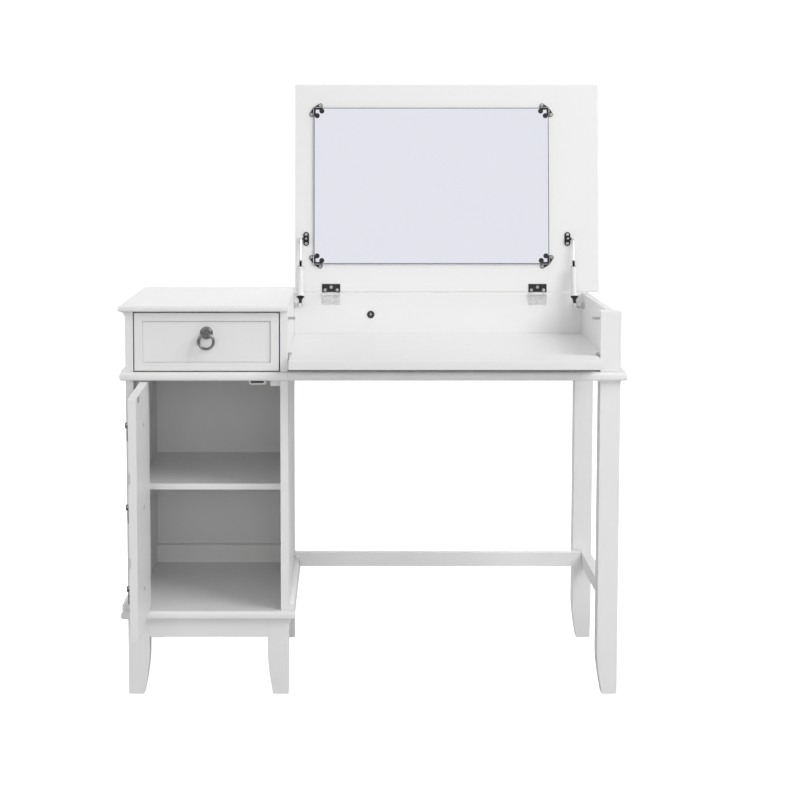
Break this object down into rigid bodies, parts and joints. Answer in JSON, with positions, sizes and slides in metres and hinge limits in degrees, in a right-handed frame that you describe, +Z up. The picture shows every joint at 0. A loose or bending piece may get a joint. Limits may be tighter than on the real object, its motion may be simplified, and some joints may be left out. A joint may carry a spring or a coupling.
{
  "type": "vanity table with mirror",
  "caption": "White vanity table with an open lift-up lid that carries a mirror, a drop front, a cabinet with a drawer and a door, and square legs.",
  "frame": {"origin": "middle of the open table's plan box, on the floor under the feet", "axes": "+Z up; +X along the width from the cabinet towards the right legs; the front with the drawer and door faces -Y and the lid leans back towards +Y"},
  "size_m": [0.977, 0.7696, 1.1953],
  "materials": {
    "white_paint": "satin white paint over board",
    "drawer_wood": "pale lacquered board",
    "runner_wood": "bare hardwood",
    "steel": "satin steel",
    "dark_metal": "dark plated steel",
    "antique_nickel": "antique nickel",
    "stay_paint": "light grey paint",
    "mirror": "mirror",
    "catch_plastic": "white plastic",
    "magnet": "dark magnet",
    "glide_plastic": "grey plastic",
    "dark_plastic": "dark grey plastic"
  },
  "bodies": {
    "root": {"cabinet_top": "white_paint", "side_left_lower": "white_paint", "side_right_lower": "white_paint", "side_left_upper": "white_paint", "side_right_upper": "white_paint", "back_panels": "white_paint", "base_board": "white_paint", "waist_board": "white_paint", "waist_rail_front": "white_paint", "waist_rail_side": "white_paint", "waist_rail_rear": "white_paint", "side_coves": "white_paint", "shelf": "white_paint", "shelf_pins": "steel", "back_rail": "white_paint", "aprons": "white_paint", "cabinet_feet": "white_paint", "right_legs": "white_paint", "corner_post": "white_paint", "foot_glides": "glide_plastic", "leg_bolts": "steel", "tray_floor": "white_paint", "tray_battens": "white_paint", "tray_rear_wall": "white_paint", "tray_right_wall": "white_paint", "cable_grommet": "dark_plastic", "stretcher_rear": "white_paint", "stretcher_side": "white_paint", "drawer_runners": "runner_wood", "door_catch": "catch_plastic", "catch_magnet": "magnet", "stop_block": "white_paint", "pivot_pins": "steel", "panel_catches": "steel", "hinge_fixed_leaves": "steel", "hinge_hardware": "steel", "stay_brackets": "steel"},
    "lid": {"lid_board": "white_paint", "mirror_glass": "mirror", "mirror_clips": "dark_metal", "hinge_lid_leaves": "dark_metal", "lid_screws": "steel", "stay_plates": "dark_metal"},
    "stay_left_tube": {"stay_cylinder_left": "stay_paint"},
    "stay_left_rod": {"stay_rod_left": "steel"},
    "stay_right_tube": {"stay_cylinder_right": "stay_paint"},
    "stay_right_rod": {"stay_rod_right": "steel"},
    "drawer": {"drawer_front": "white_paint", "drawer_sides": "drawer_wood", "drawer_back": "drawer_wood", "drawer_bottom": "drawer_wood", "drawer_pull_base": "antique_nickel"},
    "drawer_pull_ring": {"drawer_ring": "antique_nickel"},
    "door": {"door_panel": "white_paint", "door_pull_bases": "antique_nickel", "door_hardware": "steel"},
    "door_pull_ring_top": {"door_ring_top": "antique_nickel"},
    "door_pull_ring_middle": {"door_ring_middle": "antique_nickel"},
    "door_pull_ring_bottom": {"door_ring_bottom": "antique_nickel"},
    "front_panel": {"drop_front": "white_paint"}
  },
  "joints": [
    {"name": "lid_hinge", "type": "hinge", "parent": "root", "child": "lid", "pos_m": [0.136, 0.30823, 0.748], "axis": [1, 0, 0], "range_deg": [0, 98]},
    {"name": "drawer_slide", "type": "slide", "parent": "root", "child": "drawer", "axis": [0, -1, 0], "range_m": [0, 0.3]},
    {"name": "door_pivot", "type": "hinge", "parent": "root", "child": "door", "pos_m": [-0.4408, -0.12427, 0.393], "axis": [0, 0, 1], "range_deg": [-21, 89]},
    {"name": "front_panel_pivot", "type": "hinge", "parent": "root", "child": "front_panel", "pos_m": [0.136, -0.12377, 0.656], "axis": [-1, 0, 0], "range_deg": [0, 90]},
    {"name": "drawer_ring_swing", "type": "hinge", "parent": "drawer", "child": "drawer_pull_ring", "pos_m": [-0.32, -0.14377, 0.70806], "axis": [-1, 0, 0], "range_deg": [-24, 88]},
    {"name": "door_ring_top_swing", "type": "hinge", "parent": "door", "child": "door_pull_ring_top", "pos_m": [-0.45818, -0.24595, 0.54737], "axis": [-0.0175, 0.9998, 0], "range_deg": [-24, 88]},
    {"name": "door_ring_middle_swing", "type": "hinge", "parent": "door", "child": "door_pull_ring_middle", "pos_m": [-0.45818, -0.24595, 0.392], "axis": [-0.0175, 0.9998, 0], "range_deg": [-24, 88]},
    {"name": "door_ring_bottom_swing", "type": "hinge", "parent": "door", "child": "door_pull_ring_bottom", "pos_m": [-0.45818, -0.24595, 0.23663], "axis": [-0.0175, 0.9998, 0], "range_deg": [-24, 88]},
    {"name": "stay_left_turn", "type": "hinge", "parent": "root", "child": "stay_left_tube", "pos_m": [-0.15, 0.27823, 0.726], "axis": [1, 0, 0], "range_deg": [0, 95.91]},
    {"name": "stay_left_slide", "type": "slide", "parent": "stay_left_tube", "child": "stay_left_rod", "axis": [0, 0.2909, 0.9568], "range_m": [-0.05621, 0]},
    {"name": "stay_right_turn", "type": "hinge", "parent": "root", "child": "stay_right_tube", "pos_m": [0.433, 0.27823, 0.726], "axis": [1, 0, 0], "range_deg": [0, 95.91]},
    {"name": "stay_right_slide", "type": "slide", "parent": "stay_right_tube", "child": "stay_right_rod", "axis": [0, 0.2909, 0.9568], "range_m": [-0.05621, 0]}
  ],
  "couplings": [
    {"joint": "stay_left_turn", "follows": "lid_hinge", "ratio": 0.9736},
    {"joint": "stay_left_slide", "follows": "lid_hinge", "m_per_rad": -0.03269},
    {"joint": "stay_right_turn", "follows": "lid_hinge", "ratio": 0.9736},
    {"joint": "stay_right_slide", "follows": "lid_hinge", "m_per_rad": -0.03269}
  ]
}
